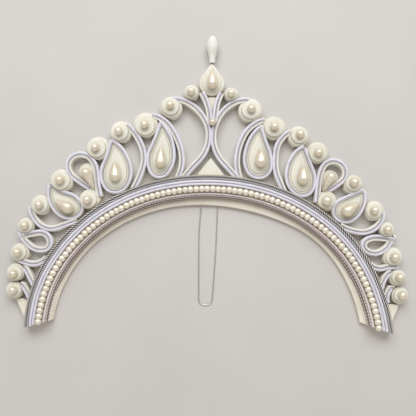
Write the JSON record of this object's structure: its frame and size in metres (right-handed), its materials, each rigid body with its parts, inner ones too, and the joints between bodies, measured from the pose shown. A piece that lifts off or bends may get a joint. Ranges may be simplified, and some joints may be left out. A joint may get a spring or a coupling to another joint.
{
  "type": "bridal mukut crown",
  "caption": "Bridal crown of carved pith: an arched band with a pearl row carries quilled scrolls, teardrops and a crest, with a wire hairpin behind.",
  "frame": {"origin": "centre of the crown's bounding box, on the back face it lies on", "axes": "+Y from the open side of the band to the crest, +X across the band to the wearer's left as the crown is seen from its face, +Z out of its face"},
  "size_m": [0.2804, 0.2107, 0.0147],
  "materials": {
    "shola": "matte, fine fibre grain",
    "finial_white": "matte, slightly smoother",
    "lavender_cord": "twisted thread, soft sheen",
    "silver_cord": "grey and cream metallic twist",
    "mauve_trim": "fine ribs",
    "pearl": "pearl gloss",
    "wire": "drawn wire"
  },
  "bodies": {
    "root": {"apex_pad": "shola", "band_core": "shola", "base_plate": "shola", "centre_pearl": "pearl", "centre_ribs": "shola", "coil_pearl_00_left": "pearl", "coil_pearl_00_right": "pearl", "coil_pearl_01_left": "pearl", "coil_pearl_01_right": "pearl", "coil_pearl_02_left": "pearl", "coil_pearl_02_right": "pearl", "coil_pearl_03_left": "pearl", "coil_pearl_03_right": "pearl", "coil_pearl_04_left": "pearl", "coil_pearl_04_right": "pearl", "coil_pearl_05_left": "pearl", "coil_pearl_05_right": "pearl", "coil_pearl_06_left": "pearl", "coil_pearl_06_right": "pearl", "coil_pearl_08_left": "pearl", "coil_pearl_08_right": "pearl", "coil_pearl_09_left": "pearl", "coil_pearl_09_right": "pearl", "coil_pearl_10_left": "pearl", "coil_pearl_10_right": "pearl", "coil_pearl_11_left": "pearl", "coil_pearl_11_right": "pearl", "coil_pearl_12_left": "pearl", "coil_pearl_12_right": "pearl", "crest_scrolls": "shola", "drop_pearl_apex": "pearl", "drop_pearl_inner_left": "pearl", "drop_pearl_inner_right": "pearl", "drop_pearl_loop_left": "pearl", "drop_pearl_loop_right": "pearl", "drop_pearl_outer_left": "pearl", "drop_pearl_outer_right": "pearl", "drop_pearl_side_left": "pearl", "drop_pearl_side_right": "pearl", "finial": "finial_white", "gusset": "shola", "inner_arches": "shola", "inner_teardrops": "shola", "large_loops": "shola", "lavender_cords": "lavender_cord", "loop_pads": "shola", "lower_tails": "shola", "outer_arches": "shola", "outer_teardrops": "shola", "ribbed_trim": "mauve_trim", "seed_pearls": "pearl", "side_tabs": "shola", "side_teardrops": "shola", "silver_cords": "silver_cord", "small_loops": "shola", "teardrop_pads": "shola", "upper_tails": "shola", "wave_scrolls": "shola", "wire_pin": "wire"}
  },
  "joints": []
}
